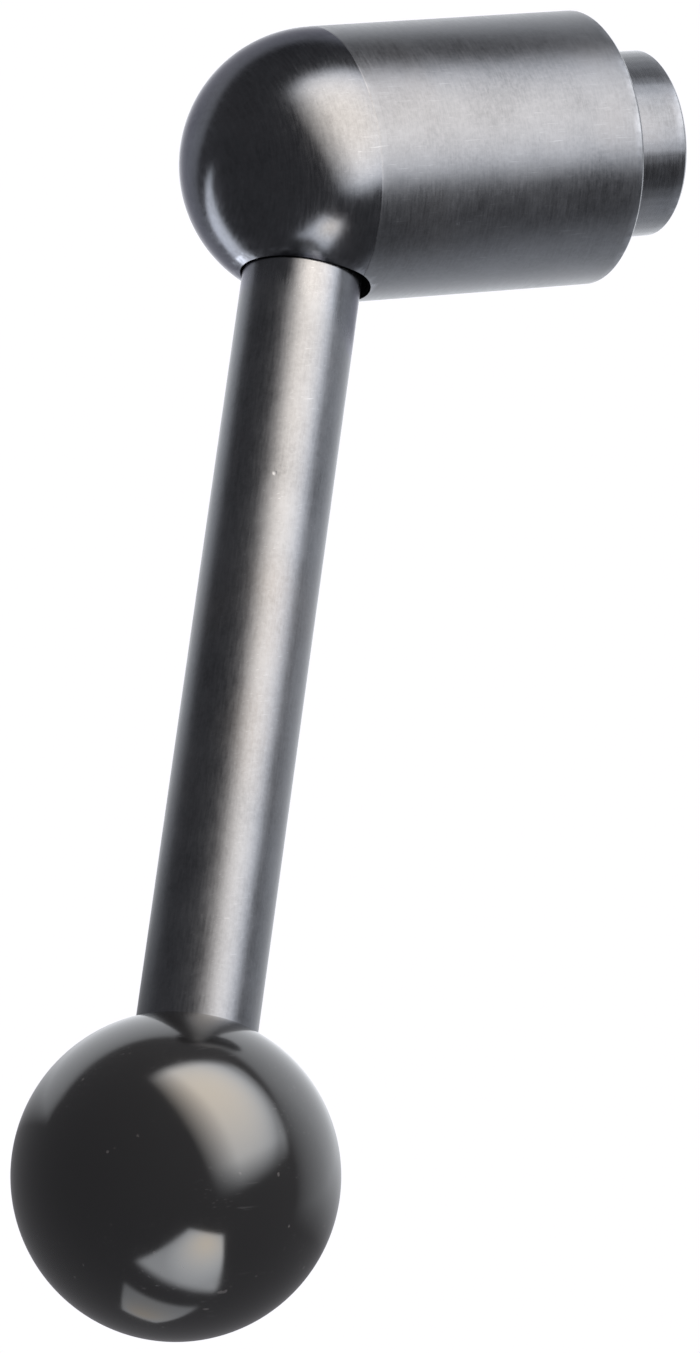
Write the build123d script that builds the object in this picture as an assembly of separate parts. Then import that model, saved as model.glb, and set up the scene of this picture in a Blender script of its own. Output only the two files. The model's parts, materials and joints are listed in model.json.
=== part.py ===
from build123d import *
import math
import os

# Indexing clamping lever: a domed steel hub that lifts and turns on a serrated, threaded insert, with a
# straight round arm and a ball knob. Pulling the hub along its axis takes its teeth out of mesh, so the
# arm can be set to another angle; a spring pulls it back.
#
# Frame, in millimetres: the origin is the centre of the insert's outer face, +X points out of the thread,
# +Z is up and the arm hangs down in the XZ plane. "Depth" is measured from the origin into the hub,
# along -X. "Station" is measured from the dome's centre along the arm, towards the knob.

# Driving dimensions
HUB_D = 28.0
HUB_STRAIGHT = 30.0  # from the hub's open end to the centre of its dome
NECK_D = 19.0
NECK_OUT = 7.5  # how far the neck stands out of the hub
ARM_D = 12.0
ARM_TILT = 20.0  # degrees that the arm leans towards the dome
REACH = 100.0  # from the hub's axis to the centre of the knob, square to the axis
BALL_D = 32.0
THREAD_CORE_D = 10.2  # M12 thread: the bore's wall is drawn at the core diameter
EDGE = 0.3  # chamfer on the outer edges

# Serration: teeth on the insert's head mesh with teeth in a ring pressed into the hub
TEETH = 24
TOOTH_LENGTH = 4.5
HEAD_ROOT_R = 9.45
HEAD_TIP_R = 10.35
HEAD_ROOT_HALF_ANGLE = 5.6  # degrees, half a tooth's width at its root
HEAD_TIP_HALF_ANGLE = 2.0
RING_TIP_R = 9.65
RING_ROOT_R = 10.6
FLANK_PLAY_ANGLE = 0.75  # degrees of play beside each flank

# Clearances
PLAY = 0.05  # running fit, on the radius, and axial play between stacked pieces
PRESS_FIT = 0.01  # gap left between faces that are pressed together
THREAD_FIT = 0.02  # gap left between a spigot's thread and its hole
STOP_GAP = 0.3  # between the insert's head and the floor of the hub's bore
RING_TO_FLANGE = 0.4

# Stack inside the hub, by depth
BORE_D = 23.0
SNAP_WIRE_D = 1.6
SNAP_DEPTH = NECK_OUT + 1.9
SNAP_GAP_ANGLE = 36.0  # degrees open between the snap ring's ends
COLLAR_START = SNAP_DEPTH + SNAP_WIRE_D / 2 + PLAY
COLLAR_LENGTH = 3.0
WASHER_START = 23.6
WASHER_LENGTH = 0.8
FLANGE_START = WASHER_START + WASHER_LENGTH
FLANGE_LENGTH = 1.8
HEAD_START = FLANGE_START + FLANGE_LENGTH
HEAD_END = HEAD_START + TOOTH_LENGTH
FLOOR_DEPTH = HEAD_END + STOP_GAP
DOME_DEPTH = NECK_OUT + HUB_STRAIGHT

# Return spring
SPRING_WIRE_D = 1.3
SPRING_MEAN_R = 10.5
SPRING_TURNS = 3.5

# Arm, by station
ARM_LENGTH = REACH / math.cos(math.radians(ARM_TILT))  # dome centre to ball centre
HUB_SPIGOT_D = 10.0
HUB_SHOULDER = 7.5
HUB_HOLE_END = -0.5  # the spigot stops 0.5 mm short of its hole's floor
ARM_HOLE_D = 12.3  # clearance hole that the arm's full diameter enters
ARM_HOLE_SPREAD = 0.9  # how much wider that hole is towards the neck, which leaves a crescent gap there
KNOB_SPIGOT_D = 8.0
KNOB_SEAT = 13.0  # from the ball's centre to the floor of its mouth
KNOB_SHOULDER = ARM_LENGTH - KNOB_SEAT
KNOB_SPIGOT_LENGTH = 12.0
THREAD_CHAMFER = 0.8
RELIEF_LENGTH = 1.2  # undercut where a thread meets its shoulder
RELIEF_DEEP = 0.9

# Knob bush, by distance from the shoulder it seats on
BUSH_D = 12.0
BUSH_WAIST_D = 10.8
BUSH_LENGTH = 14.0
BUSH_BAND = 4.5  # length of the full-diameter band at each end
KNOB_MOUTH_D = 12.3

HUB_R = HUB_D / 2
NECK_R = NECK_D / 2
ARM_R = ARM_D / 2
BALL_R = BALL_D / 2
BORE_R = BORE_D / 2
THREAD_CORE_R = THREAD_CORE_D / 2
SLIDE_R = BORE_R - PLAY  # pieces that run in the hub's bore
ON_NECK_R = NECK_R + PLAY  # pieces that run on the neck
OVERCUT = 1.0  # how far a cut starts outside the metal

# Local Z runs into the hub on one plane, and along the arm towards the knob on the other
TILT = math.radians(ARM_TILT)
HUB_AXIS = Plane(origin=(0, 0, 0), x_dir=(0, 0, 1), z_dir=(-1, 0, 0))
ARM_AXIS = Plane(
    origin=(-DOME_DEPTH, 0, 0),
    x_dir=(math.cos(TILT), 0, -math.sin(TILT)),
    z_dir=(-math.sin(TILT), 0, -math.cos(TILT)),
)


def turned(*corners):
    """A solid turned about local Z, from the (radius, height) corners of half its section."""
    outline = Polyline([(radius, 0, height) for radius, height in corners], close=True)
    return revolve(make_face(outline), Axis.Z)


def tube(inner_r, outer_r, start, end, edge=0.0):
    """A ring with an optional chamfer on both outer edges."""
    if edge == 0:
        return turned((inner_r, start), (outer_r, start), (outer_r, end), (inner_r, end))
    return turned(
        (inner_r, start),
        (outer_r - edge, start),
        (outer_r, start + edge),
        (outer_r, end - edge),
        (outer_r - edge, end),
        (inner_r, end),
    )


def serration(root_r, tip_r, root_half_angle, tip_half_angle):
    """The face of a star with TEETH straight-flanked teeth, centred on the origin."""
    corners = []
    for tooth in range(TEETH):
        middle = 360 / TEETH * tooth
        for radius, turn in (
            (root_r, -root_half_angle),
            (tip_r, -tip_half_angle),
            (tip_r, tip_half_angle),
            (root_r, root_half_angle),
        ):
            angle = math.radians(middle + turn)
            corners.append((radius * math.cos(angle), radius * math.sin(angle)))
    return make_face(Polyline(corners, close=True))


def head_half_angle(radius):
    """Half a head tooth's width, in degrees, at a radius; its flanks are straight."""
    share = (radius - HEAD_ROOT_R) / (HEAD_TIP_R - HEAD_ROOT_R)
    return HEAD_ROOT_HALF_ANGLE + share * (HEAD_TIP_HALF_ANGLE - HEAD_ROOT_HALF_ANGLE)


def hub_shell():
    """Cylinder with a hemispherical end, a blind bore with a snap-ring groove, and the arm's hole."""
    half_way = HUB_R * math.sqrt(0.5)
    side = Polyline(
        (0, 0, NECK_OUT),
        (HUB_R - EDGE, 0, NECK_OUT),
        (HUB_R, 0, NECK_OUT + EDGE),
        (HUB_R, 0, DOME_DEPTH),
    )
    dome = ThreePointArc(
        (HUB_R, 0, DOME_DEPTH),
        (half_way, 0, DOME_DEPTH + half_way),
        (0, 0, DOME_DEPTH + HUB_R),
    )
    closing = Line((0, 0, DOME_DEPTH + HUB_R), (0, 0, NECK_OUT))
    body = revolve(make_face(side + dome + closing), Axis.Z)

    bore = turned(
        (0, NECK_OUT - OVERCUT),
        (BORE_R + EDGE + OVERCUT, NECK_OUT - OVERCUT),
        (BORE_R, NECK_OUT + EDGE),
        (BORE_R, FLOOR_DEPTH),
        (0, FLOOR_DEPTH),
    )
    groove_half = SNAP_WIRE_D / 2 + PLAY
    groove = tube(
        BORE_R - OVERCUT,
        BORE_R + groove_half,
        SNAP_DEPTH - groove_half,
        SNAP_DEPTH + groove_half,
    )
    spigot_hole = tube(0, HUB_SPIGOT_D / 2, HUB_HOLE_END, HUB_D)
    slot = Pos(ARM_HOLE_SPREAD / 2, 0, HUB_SHOULDER) * SlotCenterToCenter(ARM_HOLE_SPREAD, ARM_HOLE_D)
    arm_hole = extrude(slot, HUB_D - HUB_SHOULDER)
    return HUB_AXIS * (body - bore - groove) - ARM_AXIS * (spigot_hole + arm_hole)


def threaded_insert():
    """Neck, flange and serrated head in one piece, with the threaded bore right through."""
    neck_and_flange = turned(
        (THREAD_CORE_R, 0),
        (NECK_R - EDGE, 0),
        (NECK_R, EDGE),
        (NECK_R, FLANGE_START),
        (SLIDE_R, FLANGE_START),
        (SLIDE_R, HEAD_START),
        (THREAD_CORE_R, HEAD_START),
    )
    star = serration(HEAD_ROOT_R, HEAD_TIP_R, HEAD_ROOT_HALF_ANGLE, HEAD_TIP_HALF_ANGLE)
    head = Pos(0, 0, HEAD_START) * extrude(star - Circle(THREAD_CORE_R), TOOTH_LENGTH)
    return HUB_AXIS * (neck_and_flange + head)


def tooth_ring():
    """Ring pressed against the floor of the hub's bore, with internal teeth that fit the head's."""
    start = HEAD_START + RING_TO_FLANGE
    gap_tip = head_half_angle(RING_ROOT_R) + FLANK_PLAY_ANGLE
    gap_root = head_half_angle(RING_TIP_R) + FLANK_PLAY_ANGLE
    gaps = serration(RING_TIP_R, RING_ROOT_R, gap_root, gap_tip)
    face = Circle(BORE_R - PRESS_FIT) - gaps
    return HUB_AXIS * Pos(0, 0, start) * extrude(face, FLOOR_DEPTH - start)


def guide_collar():
    """Collar between the neck and the hub's bore; the spring presses it on the snap ring."""
    return HUB_AXIS * tube(ON_NECK_R, SLIDE_R, COLLAR_START, COLLAR_START + COLLAR_LENGTH, EDGE)


def thrust_washer():
    """Thin washer between the spring and the insert's flange."""
    return HUB_AXIS * tube(ON_NECK_R, SLIDE_R - PLAY, WASHER_START, FLANGE_START - PRESS_FIT)


def snap_ring():
    """Open ring of round wire in the groove at the hub's mouth."""
    wire = Plane.XZ * Pos(BORE_R, SNAP_DEPTH) * Circle(SNAP_WIRE_D / 2)
    ring = revolve(wire, Axis.Z, revolution_arc=360 - SNAP_GAP_ANGLE)
    return HUB_AXIS * Rot(0, 0, SNAP_GAP_ANGLE / 2) * ring


def return_spring():
    """Helical compression spring between the collar and the washer."""
    start = COLLAR_START + COLLAR_LENGTH + SPRING_WIRE_D / 2 + PLAY
    end = WASHER_START - SPRING_WIRE_D / 2 - PLAY
    path = Helix(pitch=(end - start) / SPRING_TURNS, height=end - start, radius=SPRING_MEAN_R)
    wire = Plane(origin=path @ 0, z_dir=path % 0) * Circle(SPRING_WIRE_D / 2)
    return HUB_AXIS * Pos(0, 0, start) * sweep(wire, path=path)


def lever_arm():
    """Round bar with a threaded spigot at each end, undercut where a thread meets its shoulder."""
    hub_r = HUB_SPIGOT_D / 2 - THREAD_FIT
    knob_r = KNOB_SPIGOT_D / 2 - THREAD_FIT
    knob_end = KNOB_SHOULDER + KNOB_SPIGOT_LENGTH
    return ARM_AXIS * turned(
        (0, 0),
        (hub_r - THREAD_CHAMFER, 0),
        (hub_r, THREAD_CHAMFER),
        (hub_r, HUB_SHOULDER - RELIEF_LENGTH),
        (hub_r - RELIEF_DEEP, HUB_SHOULDER - RELIEF_LENGTH),
        (hub_r - RELIEF_DEEP, HUB_SHOULDER),
        (ARM_R - EDGE, HUB_SHOULDER),
        (ARM_R, HUB_SHOULDER + EDGE),
        (ARM_R, KNOB_SHOULDER - EDGE),
        (ARM_R - EDGE, KNOB_SHOULDER),
        (knob_r - RELIEF_DEEP, KNOB_SHOULDER),
        (knob_r - RELIEF_DEEP, KNOB_SHOULDER + RELIEF_LENGTH),
        (knob_r, KNOB_SHOULDER + RELIEF_LENGTH),
        (knob_r, knob_end - THREAD_CHAMFER),
        (knob_r - THREAD_CHAMFER, knob_end),
        (0, knob_end),
    )


def bush_outline(inner_r):
    """The bush's outside, two bands and a waist that lock it in the knob, down to a given radius."""
    start = KNOB_SHOULDER
    end = start + BUSH_LENGTH
    return turned(
        (inner_r, start),
        (BUSH_D / 2, start),
        (BUSH_D / 2, start + BUSH_BAND),
        (BUSH_WAIST_D / 2, start + BUSH_BAND),
        (BUSH_WAIST_D / 2, end - BUSH_BAND),
        (BUSH_D / 2, end - BUSH_BAND),
        (BUSH_D / 2, end),
        (inner_r, end),
    )


def knob_bush():
    """Threaded bush moulded in the knob; the arm's spigot screws into it."""
    hole_end = KNOB_SHOULDER + KNOB_SPIGOT_LENGTH + THREAD_CHAMFER
    hole = Pos(0, 0, KNOB_SHOULDER) * Cylinder(
        KNOB_SPIGOT_D / 2,
        hole_end - KNOB_SHOULDER,
        align=(Align.CENTER, Align.CENTER, Align.MIN),
    )
    return ARM_AXIS * (bush_outline(0) - hole)


def ball_knob():
    """Ball with a mouth for the arm's full diameter and a pocket of the bush's shape."""
    mouth = tube(0, KNOB_MOUTH_D / 2, KNOB_SHOULDER - BALL_R, KNOB_SHOULDER)
    ball = Pos(0, 0, ARM_LENGTH) * Sphere(BALL_R)
    return ARM_AXIS * (ball - mouth - bush_outline(0))


NODES = {
    "hub_shell": hub_shell,
    "threaded_insert": threaded_insert,
    "tooth_ring": tooth_ring,
    "guide_collar": guide_collar,
    "thrust_washer": thrust_washer,
    "snap_ring": snap_ring,
    "return_spring": return_spring,
    "lever_arm": lever_arm,
    "ball_knob": ball_knob,
    "knob_bush": knob_bush,
}

os.makedirs("parts", exist_ok=True)
for name, build in NODES.items():
    export_step(build(), f"parts/{name}.step")
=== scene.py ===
import json
import math

import bmesh
import bpy
from mathutils import Euler, Matrix, Vector


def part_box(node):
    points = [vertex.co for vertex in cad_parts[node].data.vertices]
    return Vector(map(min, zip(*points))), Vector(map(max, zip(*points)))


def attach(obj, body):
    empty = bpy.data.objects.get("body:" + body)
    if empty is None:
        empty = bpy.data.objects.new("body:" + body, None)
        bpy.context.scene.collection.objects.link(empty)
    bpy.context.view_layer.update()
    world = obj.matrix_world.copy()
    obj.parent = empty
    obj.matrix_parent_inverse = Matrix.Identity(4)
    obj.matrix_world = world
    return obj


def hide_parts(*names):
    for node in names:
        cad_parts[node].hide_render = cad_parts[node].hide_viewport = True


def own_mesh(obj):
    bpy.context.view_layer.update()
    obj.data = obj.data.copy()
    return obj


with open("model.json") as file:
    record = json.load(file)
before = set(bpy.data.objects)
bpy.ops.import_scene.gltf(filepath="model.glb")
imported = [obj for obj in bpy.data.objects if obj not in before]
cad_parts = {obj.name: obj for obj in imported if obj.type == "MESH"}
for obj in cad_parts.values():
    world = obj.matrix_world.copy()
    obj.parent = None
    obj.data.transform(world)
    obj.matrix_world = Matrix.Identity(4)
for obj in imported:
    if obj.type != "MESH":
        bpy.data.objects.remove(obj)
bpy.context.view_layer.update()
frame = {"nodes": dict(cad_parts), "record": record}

MM = 0.001


# ---------------------------------------------------------------- sizes, worked out from the frame

def extent(node, axis):
    """Lowest and highest coordinate of a CAD node along one axis."""
    low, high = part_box(node)
    return low[axis], high[axis]


HUB_R = extent("hub_shell", 2)[1]
HUB_MOUTH = -extent("hub_shell", 0)[1]
DOME_DEPTH = -extent("hub_shell", 0)[0] - HUB_R
INSERT_END = -extent("threaded_insert", 0)[0]
SLIDE_R = extent("threaded_insert", 1)[1]
ARM_R = extent("lever_arm", 1)[1]
BALL_R = extent("ball_knob", 1)[1]
BALL_CENTRE = Vector((extent("ball_knob", 0)[0] + BALL_R, 0, extent("ball_knob", 2)[0] + BALL_R))
DOME_CENTRE = Vector((-DOME_DEPTH, 0, 0))
ARM_LENGTH = (BALL_CENTRE - DOME_CENTRE).length
COLLAR_START = -extent("guide_collar", 0)[1]
COLLAR_END = -extent("guide_collar", 0)[0]
COLLAR_R = extent("guide_collar", 1)[1]
WASHER_START = -extent("thrust_washer", 0)[1]
WASHER_END = -extent("thrust_washer", 0)[0]
WASHER_R = extent("thrust_washer", 1)[1]
SNAP_START = -extent("snap_ring", 0)[1]
SNAP_END = -extent("snap_ring", 0)[0]
THREAD_R = next(m for m in frame["record"]["mounts"] if m["name"] == "thread")["dims"]["r_mm"] * MM

# Sizes that part.py holds and no node's box gives
NECK_R = 9.5 * MM
BORE_R = 11.5 * MM
ON_NECK_R = 9.55 * MM
EDGE = 0.3 * MM
FLOOR_DEPTH = 31.0 * MM
FLANGE_START = 24.4 * MM
HEAD_START = 26.2 * MM
HEAD_ROOT_R = 9.45 * MM
HEAD_TIP_R = 10.35 * MM
HEAD_ROOT_HALF_ANGLE = 5.6
HEAD_TIP_HALF_ANGLE = 2.0
TEETH = 24
HUB_SPIGOT_R = 5.0 * MM
HUB_HOLE_END = -0.5 * MM
HUB_SHOULDER = 7.5 * MM
ARM_HOLE_R = 6.15 * MM
ARM_HOLE_SHIFT = 0.9 * MM  # how much wider the hole is towards the neck
HOLE_BREAK = 0.18 * MM  # the rounding of that hole's edge
KNOB_SPIGOT_R = 4.0 * MM
KNOB_SPIGOT_LENGTH = 12.0 * MM
KNOB_SEAT = 13.0 * MM  # from the ball's centre back to the arm's shoulder
KNOB_SHOULDER = ARM_LENGTH - KNOB_SEAT
KNOB_MOUTH_R = 6.15 * MM
SPRING_WIRE_R = 0.65 * MM
SPRING_MEAN_R = 10.5 * MM

# Surface detail
SOFT = 0.08 * MM  # the smallest rounding on a turned edge
SEAM_STEP = 0.015 * MM  # how far the dome is turned below the cylinder
EDGE_BAND = 1.2 * EDGE  # how far in from a chamfered corner the edge is painted lighter: rubbed blackening and a painted highlight
TURN = 2 * math.pi


# ---------------------------------------------------------------- mesh building

class Axis:
    """A line that round pieces are turned about: height runs along it, angle 0 is towards side."""

    def __init__(self, origin, along, side):
        self.origin = Vector(origin)
        self.along = Vector(along).normalized()
        self.side = Vector(side).normalized()
        self.across = self.along.cross(self.side)

    def point(self, radius, angle, height):
        out = self.side * math.cos(angle) + self.across * math.sin(angle)
        return self.origin + self.along * height + out * radius

    def measure(self, point):
        """Radius and height of a point."""
        offset = Vector(point) - self.origin
        height = offset.dot(self.along)
        return (offset - self.along * height).length, height


HUB_AXIS = Axis((0, 0, 0), (-1, 0, 0), (0, 0, 1))
ARM_DIRECTION = (BALL_CENTRE - DOME_CENTRE).normalized()
ARM_AXIS = Axis(DOME_CENTRE, ARM_DIRECTION, ARM_DIRECTION.cross((0, 1, 0)))
KNOB_AXIS = Axis(BALL_CENTRE, ARM_DIRECTION, ARM_DIRECTION.cross((0, 1, 0)))


def even_angles(count):
    return [TURN * i / count for i in range(count)]


def rounded(corners, steps=4):
    """A profile with its corners rounded. Each corner is (radius, height) or (radius, height, rounding)."""
    points = []
    count = len(corners)
    for i, corner in enumerate(corners):
        here = Vector(corner[:2])
        if len(corner) == 2 or i in (0, count - 1):
            points.append(here)
            continue
        before = Vector(corners[i - 1][:2]) - here
        after = Vector(corners[i + 1][:2]) - here
        half = before.angle(after) / 2
        reach = min(corner[2] / math.tan(half), before.length * 0.45, after.length * 0.45)
        start = here + before.normalized() * reach
        end = here + after.normalized() * reach
        for k in range(steps + 1):
            t = k / steps
            points.append(start * (1 - t) ** 2 + here * 2 * t * (1 - t) + end * t * t)
    return points


def divided(points, longest):
    """The same profile with points added, so that no run is longer than longest."""
    out = [points[0]]
    for before, after in zip(points, points[1:]):
        runs = max(1, math.ceil((after - before).length / longest))
        out += [before.lerp(after, k / runs) for k in range(1, runs + 1)]
    return out


def ring(axis, angles, radius, height):
    """One ring of points. Radius may be a number or a function of the angle."""
    size = radius if callable(radius) else lambda angle: radius
    return [axis.point(size(a), a, height) for a in angles]


def new_object(name, vertices, faces):
    mesh = bpy.data.meshes.new(name)
    mesh.from_pydata([tuple(v) for v in vertices], [], faces)
    obj = bpy.data.objects.new(name, mesh)
    bpy.context.scene.collection.objects.link(obj)
    tidy = bmesh.new()
    tidy.from_mesh(mesh)
    bmesh.ops.recalc_face_normals(tidy, faces=tidy.faces)
    tidy.to_mesh(mesh)
    tidy.free()
    return obj


def skin(name, rings, closed):
    """Joins rings of equal length into one skin. It is closed end to end, or capped at both ends."""
    count = len(rings[0])
    vertices = [v for one in rings for v in one]
    faces = []
    spans = len(rings) if closed else len(rings) - 1
    for i in range(spans):
        a = i * count
        b = (i + 1) % len(rings) * count
        faces += [(a + j, a + (j + 1) % count, b + (j + 1) % count, b + j) for j in range(count)]
    if not closed:
        for i in (0, len(rings) - 1):
            centre = sum(rings[i], Vector()) / count
            vertices.append(centre)
            tip = len(vertices) - 1
            faces += [(i * count + j, i * count + (j + 1) % count, tip) for j in range(count)]
    return new_object(name, vertices, faces)


def lathe(name, axis, profile, segments=192, closed=True):
    """A turned piece. A closed profile is a ring's section, an open one starts and ends on the axis."""
    angles = even_angles(segments)
    return skin(name, [ring(axis, angles, p[0], p[1]) for p in profile], closed)


def cut(obj, cutter):
    """Takes the cutter out of the object, for good."""
    modifier = obj.modifiers.new("cut", "BOOLEAN")
    modifier.object = cutter
    modifier.operation = "DIFFERENCE"
    modifier.solver = "EXACT"
    graph = bpy.context.evaluated_depsgraph_get()
    mesh = bpy.data.meshes.new_from_object(obj.evaluated_get(graph))
    obj.modifiers.clear()
    obj.data = mesh
    bpy.data.objects.remove(cutter)


def smooth(obj, angle=30):
    """Smooth shading, with edges sharper than angle kept crisp."""
    obj.data.shade_smooth()
    obj.data.set_sharp_from_angle(angle=math.radians(angle))
    weighted = obj.modifiers.new("weighted", "WEIGHTED_NORMAL")
    weighted.keep_sharp = True


def store(obj, name, value):
    """Keeps a number on each vertex for its material, worked out from the vertex's place."""
    layer = obj.data.attributes.new(name, "FLOAT", "POINT")
    layer.data.foreach_set("value", [value(v.co) for v in obj.data.vertices])


def finish_piece(obj, body, material, node=None):
    obj.data.materials.clear()
    obj.data.materials.append(material)
    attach(obj, body)
    if node:
        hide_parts(node)


# ---------------------------------------------------------------- materials

class Nodes:
    """Short names for building one material's node tree."""

    def __init__(self, name):
        self.material = bpy.data.materials.new(name)
        self.material.use_nodes = True
        self.tree = self.material.node_tree
        self.shader = self.tree.nodes["Principled BSDF"]

    def add(self, kind, settings=None, **inputs):
        node = self.tree.nodes.new(kind)
        for key, value in (settings or {}).items():
            setattr(node, key, value)
        for key, value in inputs.items():
            self.link(value, node.inputs[key.replace("_", " ")])
        return node

    def link(self, value, socket):
        if isinstance(value, bpy.types.NodeSocket):
            self.tree.links.new(value, socket)
        else:
            socket.default_value = value

    def place(self):
        return self.add("ShaderNodeTexCoord").outputs["Object"]

    def stretch(self, vector, scale, turn=(0, 0, 0)):
        node = self.add("ShaderNodeMapping", Vector=vector)
        node.inputs["Scale"].default_value = scale
        node.inputs["Rotation"].default_value = turn
        return node.outputs["Vector"]

    def noise(self, vector, scale, detail=2.0, rough=0.5, distortion=0.0):
        node = self.add("ShaderNodeTexNoise", Vector=vector, Scale=scale, Detail=detail)
        node.inputs["Roughness"].default_value = rough
        node.inputs["Distortion"].default_value = distortion
        return node.outputs["Fac"]

    def hairlines(self, place, spacing, turn_a, turn_b):
        """Sparse fine scratches in two directions. Spacing is in cells per metre, along and across one."""
        a = self.noise(self.stretch(place, spacing, turn_a), 1.0, 1, 0.5)
        b = self.noise(self.stretch(place, spacing, turn_b), 1.0, 1, 0.5)
        return self.between(self.math("MAXIMUM", a, b), 0.69, 0.79)

    def attribute(self, name):
        return self.add("ShaderNodeAttribute", {"attribute_name": name}).outputs["Fac"]

    def math(self, operation, a, b=0.0, clamp=False):
        node = self.add("ShaderNodeMath", {"operation": operation, "use_clamp": clamp})
        self.link(a, node.inputs[0])
        self.link(b, node.inputs[1])
        return node.outputs[0]

    def between(self, value, low, high, to_low=0.0, to_high=1.0):
        """Value mapped from low..high to to_low..to_high, held at both ends."""
        node = self.add("ShaderNodeMapRange", Value=value)
        node.inputs["From Min"].default_value = low
        node.inputs["From Max"].default_value = high
        node.inputs["To Min"].default_value = to_low
        node.inputs["To Max"].default_value = to_high
        return node.outputs["Result"]

    def mix(self, share, a, b):
        node = self.add("ShaderNodeMix", {"data_type": "RGBA"})
        self.link(share, node.inputs[0])
        self.link(a, node.inputs[6])
        self.link(b, node.inputs[7])
        return node.outputs[2]

    def bump(self, height, distance, strength=1.0, below=None):
        node = self.add("ShaderNodeBump", Height=height, Distance=distance, Strength=strength)
        if below is not None:
            self.link(below, node.inputs["Normal"])
        return node.outputs["Normal"]

    def finish(self, color, roughness, normal=None, **constants):
        self.link(color, self.shader.inputs["Base Color"])
        self.link(roughness, self.shader.inputs["Roughness"])
        if normal is not None:
            self.link(normal, self.shader.inputs["Normal"])
        for key, value in constants.items():
            self.shader.inputs[key.replace("_", " ")].default_value = value
        return self.material


def grey(level, warm=0.0):
    """Nearly neutral grey, slightly blue, or warmer where warm is above 0."""
    return (level * (1.01 + warm), level, level * (1.05 - warm), 1.0)


def steel(level):
    """The blue-grey of blackened steel."""
    return grey(level, -0.045)


def blackened_steel(name, level, rough, polish, lean, draw, waviness):
    """Black-oxide steel: mottled, brownish in places, with drawn-out marks, fine scratches and small nicks.

    It is as rough as rough where the stored "polish" is 0, and as polish where it is 1. It is lighter, bare
    metal where the stored "worn" is above 0: rubbed blackening together with a painted highlight on the
    edges, and a painted highlight line along the dome's seam. Lean turns the texture's X axis onto the
    piece's own axis. Draw holds how many marks fit in a metre along that axis and across it: more along
    than across makes turning lines, and the other way round drawn bar. Waviness is the height of the
    surface's waves.
    """
    n = Nodes(name)
    place = n.place()
    own = n.stretch(place, (1, 1, 1), (0, math.radians(lean), 0))
    shine = n.attribute("polish")
    # Lighter edges where the stored value is above 0, broken up by noise: rubbed blackening together with a
    # painted highlight.
    wear_and_glint = n.math("MULTIPLY", n.attribute("wear_and_glint"), n.between(n.noise(place, 700, 2, 0.6), 0.35, 0.65))
    cloud = n.noise(place, 130, 5, 0.7)
    brown = n.between(n.noise(place, 60, 2, 0.5), 0.52, 0.68)
    grain = n.noise(place, 2400, 2, 0.65)
    marks = n.noise(n.stretch(own, (draw[0], draw[1], draw[1])), 1.0, 3, 0.7, 0.4)
    wave = n.noise(n.stretch(own, (0.3, 1, 1)), 170, 1, 0.4)
    hair = n.hairlines(place, (330, 6500, 6500), (0.3, 0.9, 0.9), (1.2, 2.3, 0.6))
    hair = n.math("MULTIPLY", hair, n.between(cloud, 0.40, 0.60, 0.2, 1.0))
    nick = n.add("ShaderNodeTexVoronoi", Vector=place, Scale=110.0, Randomness=1.0).outputs["Distance"]
    nick = n.math("MULTIPLY", n.between(nick, 0.008, 0.030, 1.0, 0.0), n.between(grain, 0.40, 0.60))
    color = n.mix(n.between(cloud, 0.3, 0.7), steel(level * 0.76), steel(level * 1.26))
    color = n.mix(n.math("MULTIPLY", brown, 0.4), color, grey(level * 1.02, 0.06))
    color = n.mix(n.between(marks, 0.30, 0.72, 0.0, 0.34), color, steel(level * 1.7))
    color = n.mix(n.between(grain, 0.35, 0.70, 0.0, 0.30), color, steel(level * 1.6))
    color = n.mix(n.math("MULTIPLY", hair, 0.4), color, steel(level * 2.2))
    color = n.mix(n.math("MULTIPLY", nick, 0.6), color, steel(level * 2.6))
    # Painted highlight and rubbed blackening: these edges are made three times lighter.
    color = n.mix(n.math("MULTIPLY", wear_and_glint, 0.7), color, steel(level * 3))
    roughness = n.between(shine, 0, 1, rough, polish)
    roughness = n.math("ADD", roughness, n.between(cloud, 0.3, 0.7, -0.03, 0.03))
    roughness = n.math("ADD", roughness, n.between(marks, 0.35, 0.65, -0.03, 0.03))
    roughness = n.math("SUBTRACT", roughness, n.math("MULTIPLY", wear_and_glint, 0.08))
    normal = n.bump(wave, waviness, 0.5)
    normal = n.bump(marks, 0.000003, 0.5, normal)
    normal = n.bump(grain, 0.000003, 0.5, normal)
    normal = n.bump(nick, -0.00004, 0.5, normal)
    n.link(n.mix(shine, grey(1.0), grey(0.5)), n.shader.inputs["Specular Tint"])
    return n.finish(color, roughness, normal, Metallic=1.0)


def plain_metal(name, color, rough):
    """Clean metal for the pieces inside: slight colour variation and fine marks."""
    n = Nodes(name)
    place = n.place()
    patina = n.noise(place, 300, 3, 0.6)
    fine = n.noise(place, 4000, 2, 0.6)
    wear_and_glint = tuple(c * 0.7 for c in color[:3]) + (1.0,)
    roughness = n.between(fine, 0.3, 0.7, rough - 0.05, rough + 0.05)
    normal = n.bump(fine, 0.000004, 0.4)
    return n.finish(n.mix(n.between(patina, 0.3, 0.7), color, wear_and_glint), roughness, normal, Metallic=1.0)


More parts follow.
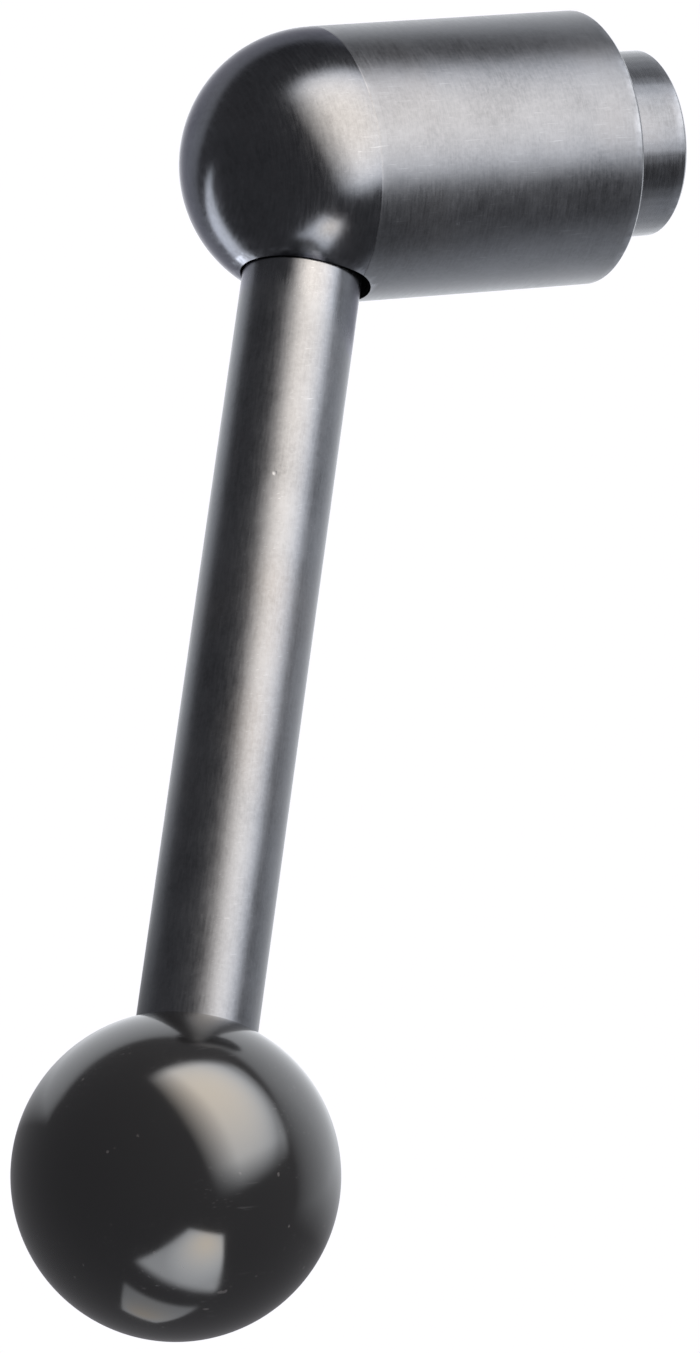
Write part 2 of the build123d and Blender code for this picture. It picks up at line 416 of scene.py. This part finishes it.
def black_thermoset():
    """Polished black plastic with faint scratches and a few dust specks."""
    n = Nodes("black_thermoset")
    place = n.place()
    haze = n.noise(place, 120, 3, 0.6)
    fine = n.noise(place, 2500, 2, 0.6)
    speck = n.between(n.noise(place, 900, 1, 0.5), 0.76, 0.80)
    hair = n.hairlines(place, (150, 5000, 5000), (0.2, 1.3, 0.6), (1.0, 0.2, 2.4))
    hair = n.math("MULTIPLY", hair, n.between(haze, 0.45, 0.60, 0.0, 1.0))
    color = n.mix(speck, grey(0.005), grey(0.03, 0.05))
    color = n.mix(n.math("MULTIPLY", hair, 0.5), color, grey(0.04))
    roughness = n.between(haze, 0.35, 0.65, 0.09, 0.15)
    roughness = n.math("ADD", roughness, n.math("MULTIPLY", hair, 0.12))
    normal = n.bump(fine, 0.0000012, 0.3)
    return n.finish(color, roughness, normal, IOR=1.6)


ARM_LEAN = math.degrees(math.atan2(ARM_DIRECTION.z, ARM_DIRECTION.x))
STEEL_HUB = blackened_steel("blackened_hub", 0.070, 0.33, 0.20, 0, (5000, 500), 0.00001)
STEEL_ARM = blackened_steel("blackened_arm", 0.080, 0.33, 0.20, ARM_LEAN, (450, 4500), 0.00006)
STEEL_INSERT = blackened_steel("blackened_insert", 0.068, 0.27, 0.20, 0, (6000, 300), 0.0)
THERMOSET = black_thermoset()
BRONZE = plain_metal("turned_bronze", (0.55, 0.33, 0.14, 1.0), 0.35)
BRASS = plain_metal("turned_brass", (0.72, 0.52, 0.22, 1.0), 0.3)
SPRING_STEEL = plain_metal("spring_steel", (0.28, 0.28, 0.29, 1.0), 0.3)
BRIGHT_STEEL = plain_metal("bright_steel", (0.5, 0.5, 0.51, 1.0), 0.3)


# ---------------------------------------------------------------- pieces

def arc(centre_height, radius, start, end, steps):
    """Profile points on a circle centred on the axis; angles in degrees from the axis."""
    points = []
    for k in range(steps + 1):
        angle = math.radians(start + (end - start) * k / steps)
        points.append(Vector((radius * math.sin(angle), centre_height + radius * math.cos(angle))))
    return points


def make_hub():
    """Domed hub with its bore, snap-ring groove and the arm's hole."""
    play = 0.05 * MM
    groove_r = BORE_R + (SNAP_END - SNAP_START) / 2 + play
    groove_start = SNAP_START - play
    groove_end = SNAP_END + play
    dome = arc(DOME_DEPTH, HUB_R - SEAM_STEP, 0, 90, 72)[1:]
    side = rounded([
        (HUB_R - SEAM_STEP, DOME_DEPTH - SOFT),
        (HUB_R, DOME_DEPTH - 2 * SOFT, SOFT),
        (HUB_R, HUB_MOUTH + EDGE, SOFT),
        (HUB_R - EDGE, HUB_MOUTH, SOFT),
        (BORE_R + EDGE, HUB_MOUTH, SOFT),
        (BORE_R, HUB_MOUTH + EDGE, SOFT),
        (BORE_R, groove_start, SOFT),
        (groove_r, groove_start),
        (groove_r, groove_end),
        (BORE_R, groove_end, SOFT),
        (BORE_R, FLOOR_DEPTH),
        (SOFT, FLOOR_DEPTH),
    ])
    hub = lathe("hub", HUB_AXIS, dome + divided(side, 0.8 * MM), 256, closed=False)
    spigot = lathe("spigot_cut", ARM_AXIS, [
        Vector((HUB_SPIGOT_R, HUB_HOLE_END)),
        Vector((HUB_SPIGOT_R, HUB_R + MM)),
    ], 96, closed=False)
    cut(hub, spigot)
    rim = math.sqrt(HUB_R ** 2 - ARM_HOLE_R ** 2)
    angles = even_angles(192)
    widening = ARM_AXIS.side * ARM_HOLE_SHIFT
    flare = 3 * MM
    slot = []  # the half of each ring towards the neck is moved, which makes the hole a slot
    for radius, height in (
        (ARM_HOLE_R, HUB_SHOULDER),
        (ARM_HOLE_R, rim - HOLE_BREAK),
        (ARM_HOLE_R + flare, rim - HOLE_BREAK + flare),
    ):
        made = ring(ARM_AXIS, angles, radius, height)
        slot.append([p + widening if math.cos(t) > 1e-6 else p for p, t in zip(made, angles)])
    cut(hub, skin("slot_cut", slot, closed=False))

    def polish(point):
        return 1.0 if HUB_AXIS.measure(point)[1] > DOME_DEPTH - SOFT / 2 else 0.0

    # Where the hub is painted lighter: a painted highlight line along the dome's seam, and rubbed
    # blackening with a painted highlight on the mouth's chamfer and the arm hole's edge.
    def wear_and_glint(point):
        radius, height = HUB_AXIS.measure(point)
        # The dome's seam: a painted highlight line.
        if radius > HUB_R - SOFT and abs(height - DOME_DEPTH + 1.5 * SOFT) < SOFT:
            return 0.2
        # The mouth's chamfer: rubbed blackening and a painted highlight.
        if radius > HUB_R - EDGE_BAND and height < HUB_MOUTH + EDGE_BAND:
            return 0.6
        # The arm hole's edge: rubbed blackening and a painted glint.
        off_arm, station = ARM_AXIS.measure(point)
        at_hole = ARM_HOLE_R - SOFT < off_arm < ARM_HOLE_R + ARM_HOLE_SHIFT + SOFT
        return 1.0 if at_hole and station > rim - 3 * HOLE_BREAK else 0.0

    store(hub, "polish", polish)
    store(hub, "wear_and_glint", wear_and_glint)
    smooth(hub, 25)
    finish_piece(hub, "lever", STEEL_HUB, "hub_shell")


def tooth_angles():
    """Angles that hold every corner of every tooth."""
    pitch = 360 / TEETH
    inside = [
        -HEAD_ROOT_HALF_ANGLE,
        -HEAD_TIP_HALF_ANGLE,
        0,
        HEAD_TIP_HALF_ANGLE,
        HEAD_ROOT_HALF_ANGLE,
        pitch / 2,
    ]
    return [math.radians(tooth * pitch + turn) for tooth in range(TEETH) for turn in inside]


def tooth_radius(tip_r, root_r):
    """Radius of the toothed head at an angle, for a given tip and root."""
    pitch = 360 / TEETH

    def radius(angle):
        turn = abs((math.degrees(angle) + pitch / 2) % pitch - pitch / 2)
        share = (HEAD_ROOT_HALF_ANGLE - turn) / (HEAD_ROOT_HALF_ANGLE - HEAD_TIP_HALF_ANGLE)
        return root_r + (tip_r - root_r) * min(max(share, 0), 1)

    return radius


def thread_radius(crest_r, root_r, pitch, height):
    """Radius of a right-hand thread at a height, as a function of the angle."""
    crest = pitch / 8
    root = pitch / 16

    def radius(angle):
        place = (height / pitch + angle / TURN) % 1.0
        off_root = abs(place - 0.5) * pitch
        share = (off_root - root) / (pitch / 2 - crest - root)
        return root_r + (crest_r - root_r) * min(max(share, 0), 1)

    return radius


def make_insert():
    """Neck, flange and serrated head, with a real M12 thread right through."""
    pitch = 1.75 * MM
    major = 6.0 * MM
    mouth_r = 6.35 * MM
    angles = tooth_angles()
    tooth_edge = 0.35 * MM
    rings = []
    outside = divided(rounded([
        (mouth_r, 0),
        (NECK_R - EDGE, 0, SOFT),
        (NECK_R, EDGE, SOFT),
        (NECK_R, FLANGE_START, SOFT),
        (SLIDE_R, FLANGE_START, SOFT),
        (SLIDE_R, HEAD_START, SOFT),
        (HEAD_ROOT_R, HEAD_START),
    ]), 1.0 * MM)
    for radius, height in outside:
        rings.append(ring(HUB_AXIS, angles, radius, height))
    tip_end = HEAD_ROOT_R + (HEAD_TIP_R - HEAD_ROOT_R) * 0.6
    for radius, height in (
        (tooth_radius(HEAD_TIP_R, HEAD_ROOT_R), HEAD_START),
        (tooth_radius(HEAD_TIP_R, HEAD_ROOT_R), INSERT_END - tooth_edge),
        (tooth_radius(tip_end, HEAD_ROOT_R - 0.2 * MM), INSERT_END),
        (mouth_r, INSERT_END),
    ):
        rings.append(ring(HUB_AXIS, angles, radius, height))
    steps = 14
    rows = round(INSERT_END / pitch * steps)
    for k in range(rows, -1, -1):
        height = INSERT_END * k / rows
        funnel = mouth_r - min(height, INSERT_END - height)
        thread = thread_radius(THREAD_R, major, pitch, height)
        rings.append(ring(HUB_AXIS, angles, lambda a, t=thread, f=funnel: max(t(a), f), height))
    insert = skin("insert", rings, closed=True)

    # Where the insert is painted lighter: rubbed blackening and a painted highlight on the end's edge, the
    # flange's edges and the teeth's tips.
    def wear_and_glint(point):
        radius, height = HUB_AXIS.measure(point)
        at_end = height < EDGE_BAND and radius > NECK_R - EDGE_BAND
        off_flange_edge = min(abs(height - FLANGE_START), abs(height - HEAD_START))
        at_flange = radius > SLIDE_R - SOFT and off_flange_edge < SOFT
        at_teeth = radius > HEAD_ROOT_R and height > INSERT_END - EDGE
        return 0.5 if at_end or at_flange or at_teeth else 0.0

    store(insert, "wear_and_glint", wear_and_glint)
    smooth(insert, 28)
    finish_piece(insert, "insert", STEEL_INSERT, "threaded_insert")


def make_arm():
    """Straight bar with a threaded spigot at each end."""
    angles = even_angles(160)
    chamfer = 0.9 * MM
    relief = 1.2 * MM
    relief_deep = 0.9 * MM
    clearance = 0.02 * MM
    hub_r = HUB_SPIGOT_R - clearance
    knob_r = KNOB_SPIGOT_R - clearance
    knob_end = KNOB_SHOULDER + KNOB_SPIGOT_LENGTH

    def spigot(radius, pitch, start, end, tip):
        """Rings of a thread from start to end; its outer end is chamfered."""
        rows = max(2, round(abs(end - start) / pitch * 12))
        made = []
        for k in range(rows + 1):
            height = start + (end - start) * k / rows
            limit = radius - chamfer + abs(height - tip)
            thread = thread_radius(radius, radius - 0.6 * pitch, pitch, height)
            made.append(ring(ARM_AXIS, angles, lambda a, t=thread, f=limit: min(t(a), f), height))
        return made

    rings = spigot(hub_r, 1.5 * MM, 0, HUB_SHOULDER - relief, 0)
    middle = divided(rounded([
        (hub_r - relief_deep, HUB_SHOULDER - relief),
        (hub_r - relief_deep, HUB_SHOULDER),
        (ARM_R - EDGE, HUB_SHOULDER, SOFT),
        (ARM_R, HUB_SHOULDER + EDGE, SOFT),
        (ARM_R, KNOB_SHOULDER - EDGE, SOFT),
        (ARM_R - EDGE, KNOB_SHOULDER, SOFT),
        (knob_r - relief_deep, KNOB_SHOULDER),
        (knob_r - relief_deep, KNOB_SHOULDER + relief),
    ]), 1.0 * MM)
    rings += [ring(ARM_AXIS, angles, radius, height) for radius, height in middle]
    rings += spigot(knob_r, 1.25 * MM, KNOB_SHOULDER + relief, knob_end, knob_end)
    arm = skin("arm", rings, closed=False)

    def polish(point):
        """The end by the hub is turned smoother, down to a slanting line with a soft edge."""
        station = ARM_AXIS.measure(point)[1]
        slant = (point - ARM_AXIS.origin).dot(ARM_AXIS.side) / ARM_R
        turned_end = HUB_R + (4 + 3 * slant) * MM
        return min(max((turned_end - station) / (2 * MM), 0), 1) * 0.8

    store(arm, "polish", polish)
    smooth(arm, 28)
    finish_piece(arm, "lever", STEEL_ARM, "lever_arm")


def make_knob():
    """Ball with the mouth that takes the arm's full diameter."""
    low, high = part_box("knob_bush")
    bush_r = (high.y - low.y) / 2
    bush_end = 1.0 * MM
    lip = 0.12 * MM
    rim = math.degrees(math.asin((KNOB_MOUTH_R + lip) / BALL_R))
    ball = arc(0, BALL_R, 0.6, 180 - rim, 120)
    mouth_height = ball[-1][1]
    pocket = [Vector(p) for p in (
        (KNOB_MOUTH_R + 0.03 * MM, mouth_height + 0.03 * MM),
        (KNOB_MOUTH_R, mouth_height + lip),
        (KNOB_MOUTH_R, -KNOB_SEAT),
        (bush_r, -KNOB_SEAT),
        (bush_r, bush_end),
        (0.1 * MM, bush_end),
    )]
    knob = lathe("knob", KNOB_AXIS, ball + divided(pocket, 1.5 * MM), 224, closed=False)
    smooth(knob, 40)
    finish_piece(knob, "lever", THERMOSET, "ball_knob")


def make_spring():
    """Closed and ground compression spring between the collar and the washer."""
    gap = 0.05 * MM
    start = COLLAR_END + gap
    end = WASHER_START - gap
    turns = 4.5
    closed_turns = 0.8
    sides = 14
    steps = round(turns * 48)
    wire = SPRING_WIRE_R * 2
    ground = 0.35 * SPRING_WIRE_R
    first = start + SPRING_WIRE_R - ground
    last = end - SPRING_WIRE_R + ground
    closed_rise = wire * closed_turns
    open_rise = last - first - 2 * closed_rise

    def height(turn):
        if turn < closed_turns:
            return first + wire * turn
        if turn > turns - closed_turns:
            return last - wire * (turns - turn)
        share = (turn - closed_turns) / (turns - 2 * closed_turns)
        eased = share * share * (3 - 2 * share) * 0.35 + share * 0.65
        return first + closed_rise + open_rise * eased

    rings = []
    for k in range(steps + 1):
        turn = turns * k / steps
        made = []
        for side in even_angles(sides):
            radius = SPRING_MEAN_R + SPRING_WIRE_R * math.cos(side)
            level = height(turn) + SPRING_WIRE_R * math.sin(side)
            made.append(HUB_AXIS.point(radius, TURN * turn, min(max(level, start), end)))
        rings.append(made)
    spring = skin("spring", rings, closed=False)
    smooth(spring, 50)
    finish_piece(spring, "insert", SPRING_STEEL, "return_spring")
    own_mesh(spring)


def make_collar():
    """Bronze collar that runs on the neck."""
    collar = lathe("collar", HUB_AXIS, rounded([
        (ON_NECK_R + EDGE, COLLAR_START),
        (COLLAR_R - EDGE, COLLAR_START, SOFT),
        (COLLAR_R, COLLAR_START + EDGE, SOFT),
        (COLLAR_R, COLLAR_END - EDGE, SOFT),
        (COLLAR_R - EDGE, COLLAR_END, SOFT),
        (ON_NECK_R + EDGE, COLLAR_END, SOFT),
        (ON_NECK_R, COLLAR_END - EDGE, SOFT),
        (ON_NECK_R, COLLAR_START + EDGE, SOFT),
        (ON_NECK_R + EDGE, COLLAR_START),
    ])[:-1])
    smooth(collar)
    finish_piece(collar, "collar", BRONZE, "guide_collar")


def make_washer():
    """Thin washer on the flange, with rounded edges."""
    edge = 0.12 * MM
    washer = lathe("washer", HUB_AXIS, rounded([
        (ON_NECK_R + edge, WASHER_START),
        (WASHER_R, WASHER_START, edge),
        (WASHER_R, WASHER_END, edge),
        (ON_NECK_R, WASHER_END, edge),
        (ON_NECK_R, WASHER_START + edge),
    ]))
    smooth(washer)
    finish_piece(washer, "insert", BRIGHT_STEEL, "thrust_washer")


def finish_cad_nodes():
    """The hidden pieces whose CAD shape is right keep it and get their material."""
    for node, material in (
        ("tooth_ring", BRIGHT_STEEL),
        ("snap_ring", SPRING_STEEL),
        ("knob_bush", BRASS),
    ):
        obj = frame["nodes"][node]
        obj.data.materials.clear()
        obj.data.materials.append(material)


# ---------------------------------------------------------------- stage

def make_floor():
    """Plain pale floor, well below the part and the camera."""
    n = Nodes("pale_floor")
    tone = n.noise(n.place(), 3, 2, 0.5)
    n.finish(n.mix(tone, grey(0.80), grey(0.84)), 0.9)
    size = 6.0
    drop = -0.9
    corners = [(-size, -size, drop), (size, -size, drop), (size, size, drop), (-size, size, drop)]
    floor = new_object("floor", corners, [(0, 1, 2, 3)])
    floor.data.materials.append(n.material)
    floor.visible_glossy = False
    floor.visible_shadow = False


def make_world():
    """White to the camera, soft white to dull surfaces, and dim to shiny ones."""
    world = bpy.data.worlds.new("studio")
    bpy.context.scene.world = world
    world.use_nodes = True
    world.cycles.sampling_method = "NONE"
    tree = world.node_tree
    tree.nodes.clear()
    path = tree.nodes.new("ShaderNodeLightPath")
    output = tree.nodes.new("ShaderNodeOutputWorld")

    def background(level):
        node = tree.nodes.new("ShaderNodeBackground")
        node.inputs["Color"].default_value = grey(level)
        return node.outputs[0]

    def choose(share, a, b):
        node = tree.nodes.new("ShaderNodeMixShader")
        tree.links.new(share, node.inputs[0])
        tree.links.new(a, node.inputs[1])
        tree.links.new(b, node.inputs[2])
        return node.outputs[0]

    to_shiny = background(0.23)
    to_dull = background(0.9)
    to_camera = background(1.0)
    lit = choose(path.outputs["Is Diffuse Ray"], to_shiny, to_dull)
    shown = choose(path.outputs["Is Camera Ray"], lit, to_camera)
    tree.links.new(shown, output.inputs["Surface"])


def light_level(tree, u, v, edge, rim, core):
    """Brightness over a panel, and how near to its core. It falls to rim, then fades at the edges."""

    def calc(operation, a, b=0.0, clamp=False):
        node = tree.nodes.new("ShaderNodeMath")
        node.operation = operation
        node.use_clamp = clamp
        for socket, value in zip(node.inputs, (a, b)):
            if isinstance(value, bpy.types.NodeSocket):
                tree.links.new(value, socket)
            else:
                socket.default_value = value
        return node.outputs[0]

    off_u = calc("ABSOLUTE", calc("SUBTRACT", u, 0.5))
    off_v = calc("ABSOLUTE", calc("SUBTRACT", v, 0.5))
    in_u = calc("DIVIDE", calc("SUBTRACT", 0.5, off_u), edge, True)
    in_v = calc("DIVIDE", calc("SUBTRACT", 0.5, off_v), edge, True)
    from_u = calc("SUBTRACT", u, 0.5 + core[0])
    from_v = calc("SUBTRACT", v, 0.5 + core[1])
    off = calc("ADD", calc("MULTIPLY", from_u, from_u), calc("MULTIPLY", from_v, from_v))
    near = calc("SUBTRACT", 1.0, calc("DIVIDE", off, CORE_SPREAD ** 2), True)
    level = calc("ADD", calc("MULTIPLY", near, 1.0 - rim), rim)
    return calc("MULTIPLY", level, calc("MULTIPLY", in_u, in_v)), calc("POWER", near, 2.5)


COOL_LIGHT = (0.93, 0.96, 1.0, 1.0)
WARM_LIGHT = (1.0, 0.90, 0.77, 1.0)
CORE_SPREAD = 0.6  # how far a panel's bright core reaches, as a share of its side


def softbox(name, place, turn, size, radiance, edge, rim, core=(0.0, 0.0), core_color=WARM_LIGHT):
    """A one-sided light panel. Place is relative to the ball's centre, turn is in degrees.

    Edge is the share of the side over which it fades out, rim its brightness far from the core against
    the core's, and core the core's place off the middle, as shares of the sides.
    """
    light = bpy.data.lights.new(name, "AREA")
    light.shape = "RECTANGLE"
    light.size, light.size_y = size
    light.energy = math.pi * size[0] * size[1] * radiance
    obj = bpy.data.objects.new(name, light)
    bpy.context.scene.collection.objects.link(obj)
    angles = Euler([math.radians(angle) for angle in turn])
    obj.matrix_world = Matrix.Translation(BALL_CENTRE + Vector(place)) @ angles.to_matrix().to_4x4()
    obj.visible_camera = False
    light.use_nodes = True
    tree = light.node_tree
    emission = tree.nodes["Emission"]
    spot = tree.nodes.new("ShaderNodeNewGeometry").outputs["Parametric"]
    split = tree.nodes.new("ShaderNodeSeparateXYZ")
    tree.links.new(spot, split.inputs[0])
    level, share = light_level(tree, split.outputs[0], split.outputs[1], edge, rim, core)
    tree.links.new(level, emission.inputs["Strength"])
    tint = tree.nodes.new("ShaderNodeMix")
    tint.data_type = "RGBA"
    tree.links.new(share, tint.inputs[0])
    tint.inputs[6].default_value = COOL_LIGHT
    tint.inputs[7].default_value = core_color
    tree.links.new(tint.outputs[2], emission.inputs["Color"])


def make_lights():
    """Five panels: a large one at the upper right, one low in front, and three behind on the left."""
    softbox(
        "key", place=(0.160, -0.162, 0.170), turn=(79, -14, -3), size=(0.43, 0.47),
        radiance=9.2, edge=0.18, rim=0.28, core=(-0.3, 0.04),
    )
    softbox(
        "low", place=(-0.023, -0.077, -0.130), turn=(170, 26, -87), size=(0.17, 0.095),
        radiance=7.5, edge=0.06, rim=0.5, core=(0.15, -0.1),
    )
    softbox(
        "back_low", place=(-0.033, 0.160, -0.204), turn=(147, 5, -3), size=(0.10, 0.30),
        radiance=1.6, edge=0.05, rim=0.8,
    )
    softbox(
        "backdrop", place=(-0.125, 0.197, 0.259), turn=(-82, 33, -41), size=(1.09, 0.21),
        radiance=1.4, edge=0.15, rim=0.3, core=(0.3, 0.0), core_color=COOL_LIGHT,
    )
    softbox(
        "left_card", place=(-0.028, 0.143, 0.038), turn=(-140, 23, 90), size=(0.21, 0.22),
        radiance=6.8, edge=0.1, rim=0.8, core_color=COOL_LIGHT,
    )


def make_camera():
    """A long lens on the -Y side, turned towards the dome, a little below the part and looking up."""
    azimuth = math.radians(-27.28)
    elevation = math.radians(-10.30)
    roll = math.radians(-10.98)
    place = (-0.42122, -0.72964, -0.20184)
    data = bpy.data.cameras.new("camera")
    data.sensor_fit = "VERTICAL"
    data.sensor_height = 36
    data.lens = 223.7
    camera = bpy.data.objects.new("camera", data)
    bpy.context.scene.collection.objects.link(camera)
    forward = Vector((
        -math.sin(azimuth) * math.cos(elevation),
        math.cos(azimuth) * math.cos(elevation),
        -math.sin(elevation),
    ))
    turn = forward.to_track_quat("-Z", "Y").to_matrix().to_4x4()
    spin = Euler((0, 0, roll)).to_matrix().to_4x4()
    camera.matrix_world = Matrix.Translation(place) @ turn @ spin
    bpy.context.scene.camera = camera


bpy.context.scene.view_settings.view_transform = "Standard"
make_camera()
make_world()
make_lights()
make_floor()
make_hub()
make_insert()
make_arm()
make_knob()
make_spring()
make_collar()
make_washer()
finish_cad_nodes()
